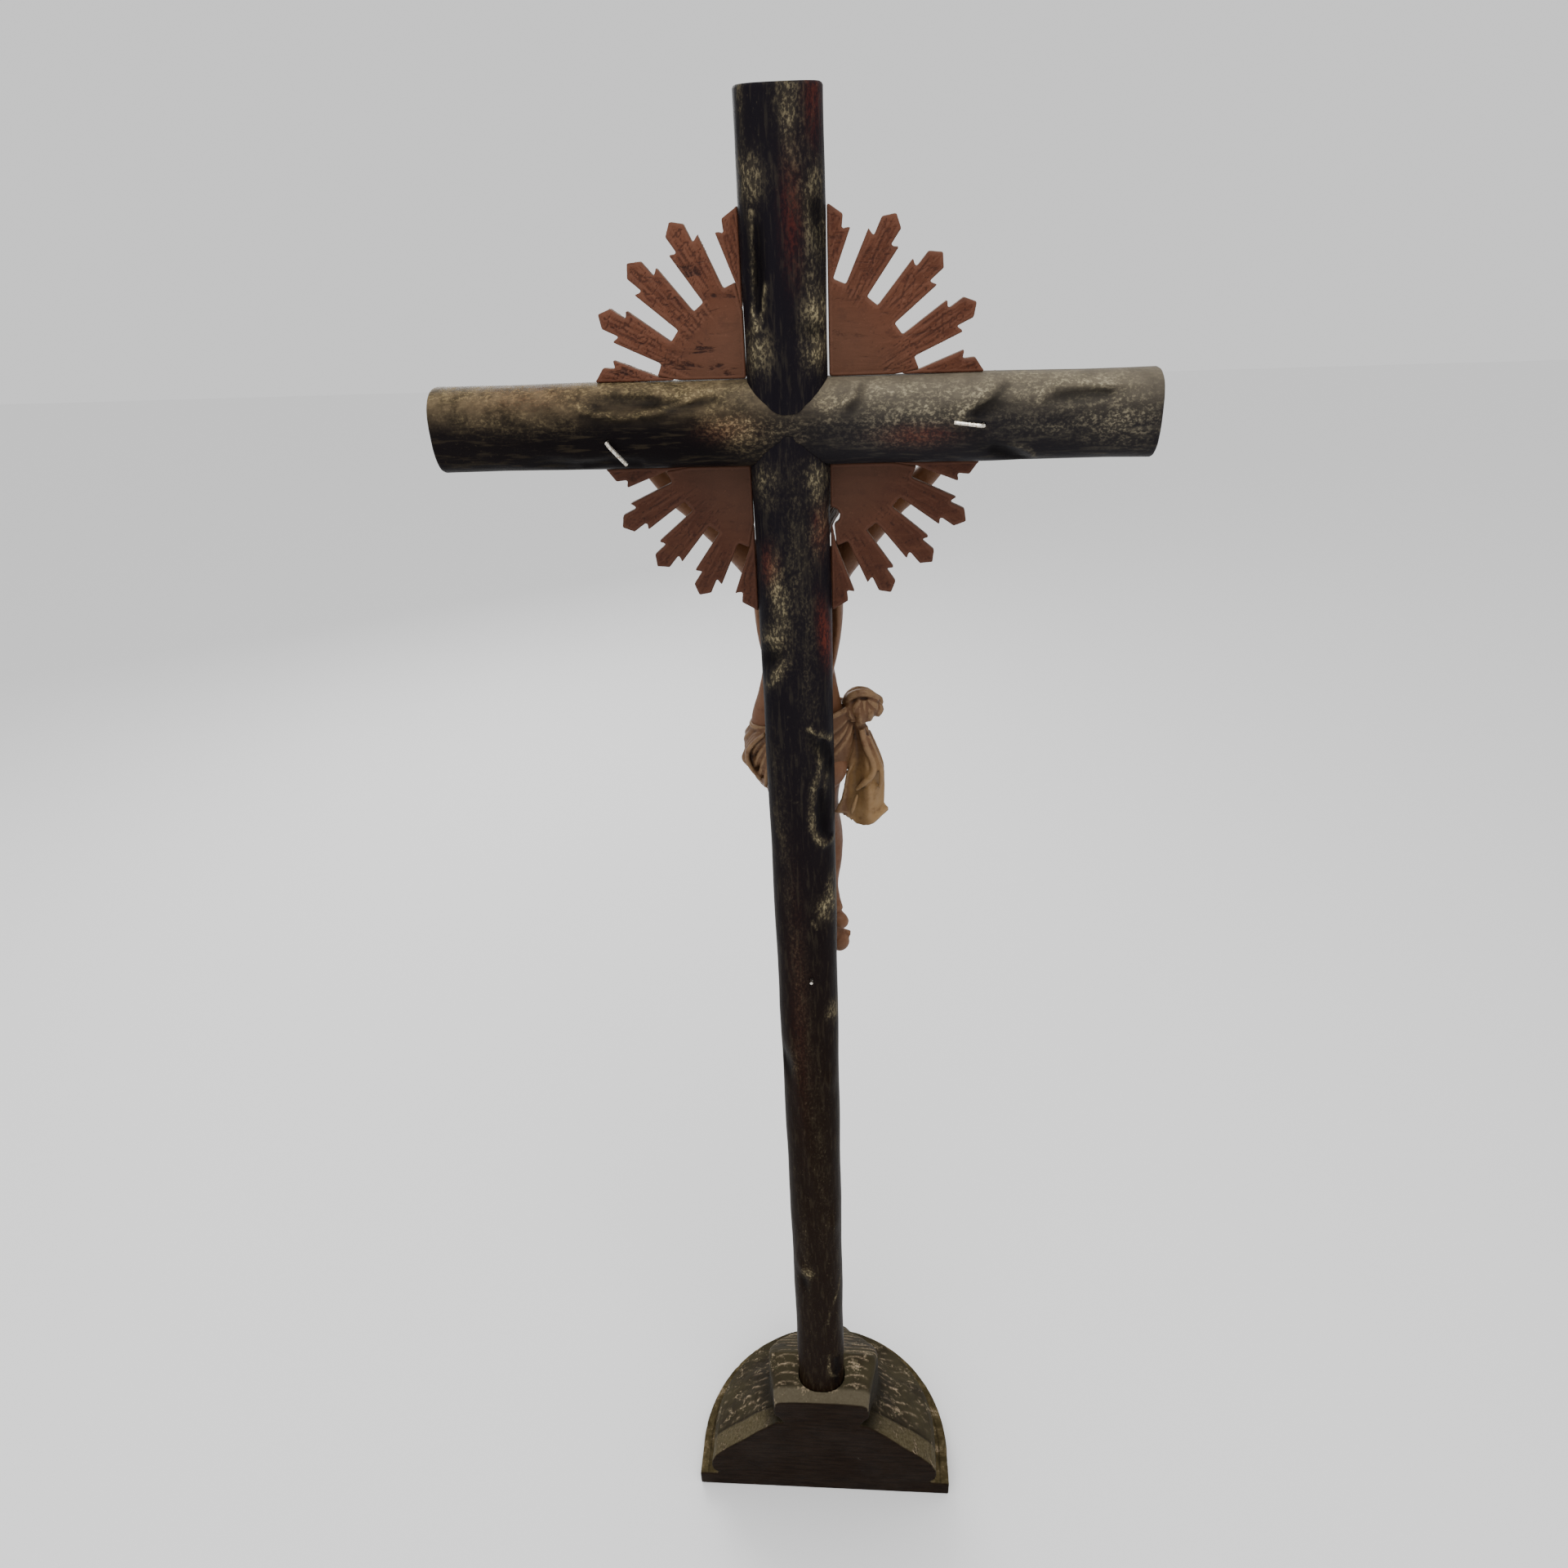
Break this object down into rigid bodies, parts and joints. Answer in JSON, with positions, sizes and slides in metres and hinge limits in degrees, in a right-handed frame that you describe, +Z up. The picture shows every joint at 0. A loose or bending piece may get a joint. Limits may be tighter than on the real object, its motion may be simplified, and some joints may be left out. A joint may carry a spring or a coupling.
{
  "type": "altar crucifix",
  "caption": "Standing cross of rounded branch-like timbers on a D-shaped rocky mound, with a sawn glory of rays behind the crossing and a carved figure nailed to its front.",
  "frame": {"origin": "middle of the base's underside, under the centre of the object's box", "axes": "+Z up along the post; the carved figure faces -Y and the base's flat back faces +Y; +X is towards the figure's own left hand"},
  "size_m": [0.3836, 0.16, 1.193],
  "materials": {
    "mound_paint": "green-brown distemper on carved wood, dry and rubbed",
    "post_wood": "black-brown paint with dry-brushed gold, worn",
    "bar_wood": "brown paint with dusty gold, worn",
    "figure_paint": "old flesh paint and ochre gilding on carved wood",
    "glory_bole": "bare red-brown bole on the back, gilt on the front",
    "nail_steel": "plain wire, a little tarnished"
  },
  "bodies": {
    "root": {"base": "mound_paint", "post": "post_wood", "crossbar": "bar_wood", "corpus": "figure_paint", "hand_nail_left": "nail_steel", "hand_nail_right": "nail_steel", "foot_nail": "nail_steel", "glory_plate_upper_left": "glory_bole", "glory_plate_upper_right": "glory_bole", "glory_plate_lower_left": "glory_bole", "glory_plate_lower_right": "glory_bole", "glory_bar_ray_upper_left": "glory_bole", "glory_bar_ray_upper_right": "glory_bole", "glory_bar_ray_lower_left": "glory_bole", "glory_bar_ray_lower_right": "glory_bole", "glory_post_ray_upper_left": "glory_bole", "glory_post_ray_lower_left": "glory_bole", "glory_post_ray_lower_right": "glory_bole"}
  },
  "joints": []
}
